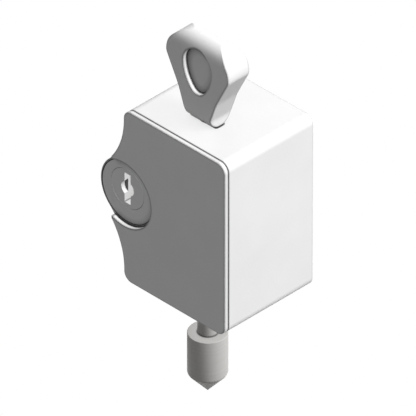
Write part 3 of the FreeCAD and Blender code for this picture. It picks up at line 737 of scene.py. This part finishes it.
cutter = bmesh.new()
for way in (-1, 1):
    loops = [egg(cutter, grow, way * (KNOB_HALF - depth)) for grow, depth in profile]
    for near, far in zip(loops, loops[1:]):
        bmesh.ops.bridge_loops(cutter, edges=near + far)
    for loop in (loops[0], loops[-1]):
        bmesh.ops.edgeloop_fill(cutter, edges=loop)
bar(cutter, STEM_BORE, FOOT - 1, STEM_TOP + PAST_STEM)
bmesh.ops.recalc_face_normals(cutter, faces=cutter.faces)
bmesh.ops.recalc_face_normals(bm, faces=bm.faces)
bm = carve(bm, cutter)
knob = finish_piece("knob_casting", bm, knob_paint, "bolt", "knob", sharp=50, place=at_bolt)
even = knob.modifiers.new("even shading", "WEIGHTED_NORMAL")
even.keep_sharp = True

# %% [markdown]
# ## Screws
# Four socket screws come in from the back of the case, run through its pillars and pull the cover
# on. Each is a turned head and shank with a six-sided socket. A helix could be wound round the
# shank as a second piece, but here the thread is cut as a die does it: the shank's points move in
# and out with a height that winds once round per pitch.

# %% Screw shape
TIP, THREAD_DEPTH = 0.4, 0.27
SOCKET, DRILL_TOP, DRILL_POINT = 1.3, 1.29, 1.75


def cut_thread(bm, radius, low, high, pitch, depth):
    """Winds a V thread round the shank between two heights."""
    for vert in bm.verts:
        away = vert.co.xy.length
        if abs(away - radius) < NEAR and low < vert.co.z < high:
            turn = math.atan2(vert.co.y, vert.co.x) / (2 * math.pi)
            phase = (vert.co.z / pitch - turn) % 1.0
            vert.co.xy *= (radius - depth * abs(2 * phase - 1)) / away


def socket_screw(head, head_high, shank, length, threaded, pitch, hexagon):
    """A socket screw whose head stands on the plane z = 0 and whose shank points down."""
    steps = round(threaded / pitch) * 4
    outline = [(0, head_high), (head, head_high), (head, 0), (shank, 0)]
    outline += [(shank, -length + threaded - threaded * step / steps) for step in range(steps)]
    outline += [(shank, -length + TIP), (shank - TIP, -length), (0, -length)]
    bm = turned(outline, steps=24)
    soften(bm, radius=0.2, segments=2, least=60, where=rim(head_high, head))
    low, high = -length + 0.5, -length + threaded - 0.1
    cut_thread(bm, shank, low, high, pitch, THREAD_DEPTH)
    corner = hexagon / math.cos(math.radians(30))
    socket = bmesh.new()
    bar(socket, corner, head_high - SOCKET, head_high + 1, segments=6)
    bar(socket, hexagon, head_high - DRILL_POINT, head_high - DRILL_TOP, segments=18)
    return carve(bm, socket)


# %% Cover screws
SCREW_X, SCREW_Z, SCREW_SEAT = 16.4, 26.35, -2.6
to_back = Matrix.Rotation(-math.pi / 2, 4, "X")

set_of_screws = bmesh.new()
for x in (-SCREW_X, SCREW_X):
    for z in (-SCREW_Z, SCREW_Z):
        bm = socket_screw(head=2.75, head_high=2.4, shank=1.5, length=33.6, threaded=8.0,
                          pitch=0.5, hexagon=1.25)
        place = Matrix.Translation((x, SCREW_SEAT, z)) @ to_back
        bmesh.ops.transform(bm, matrix=place, verts=bm.verts)
        one = bpy.data.meshes.new("one")
        bm.to_mesh(one)
        bm.free()
        set_of_screws.from_mesh(one)
        bpy.data.meshes.remove(one)
finish_piece("cover_screw_set", set_of_screws, screw_steel, "case", "cover_screws")

# %% [markdown]
# ## Springs
# A compression spring is a round wire wound into a helix, with one closed coil at each end. A curve
# with a round bevel could follow a helix too. Here a ring of wire is spun round the axis and lifted
# a little at every step, because that shows how the pitch changes: one turn closed, the middle
# turns open, one turn closed.

# %% Bolt spring
def coil(mean, wire, length, turns, sides, steps):
    """A compression spring that stands on z = 0. A closed turn rises by a little over its wire."""
    closed = 2.3 * wire
    pitch = (length - 2 * wire - 2 * closed) / (turns - 2)
    bm = bmesh.new()
    upright = Matrix.Translation((mean, 0, wire)) @ Matrix.Rotation(math.pi / 2, 4, "X")
    bmesh.ops.create_circle(bm, segments=sides, radius=wire, matrix=upright)
    tip = bm.verts[:] + bm.edges[:]
    for count, lift in ((1, closed), (turns - 2, pitch), (1, closed)):
        tip = bmesh.ops.spin(bm, geom=tip, cent=(0, 0, 0), axis=(0, 0, 1),
                             dvec=(0, 0, lift / steps), angle=2 * math.pi * count,
                             steps=steps * count)["geom_last"]
    bmesh.ops.holes_fill(bm, edges=[edge for edge in bm.edges if edge.is_boundary])
    return bm


SPRING_LOW, SPRING_HIGH = -13.15, 28.35
SPRING_LENGTH = SPRING_HIGH - SPRING_LOW
bm = coil(mean=3.95, wire=0.4, length=SPRING_LENGTH, turns=12, sides=14, steps=40)
at_spring = Matrix.Translation((0, BOLT_Y, SPRING_LOW))
spring = finish_piece("return_spring", bm, spring_steel, "case", "bolt_spring", sharp=60,
                      place=at_spring)
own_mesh(spring)

# %% Pin springs
PIN_WIRE = 0.2

for index in range(1, 6):
    replaced = "pin_spring_%d" % index
    low, high = [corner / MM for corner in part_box(replaced)]
    mean = (high.x - low.x) / 2 - PIN_WIRE
    bm = coil(mean, PIN_WIRE, high.z - low.z, turns=4, sides=8, steps=24)
    middle = Matrix.Translation(((low.x + high.x) / 2, (low.y + high.y) / 2, low.z))
    finish_piece("pin_coil_%d" % index, bm, spring_steel, "case", replaced, sharp=60, place=middle)
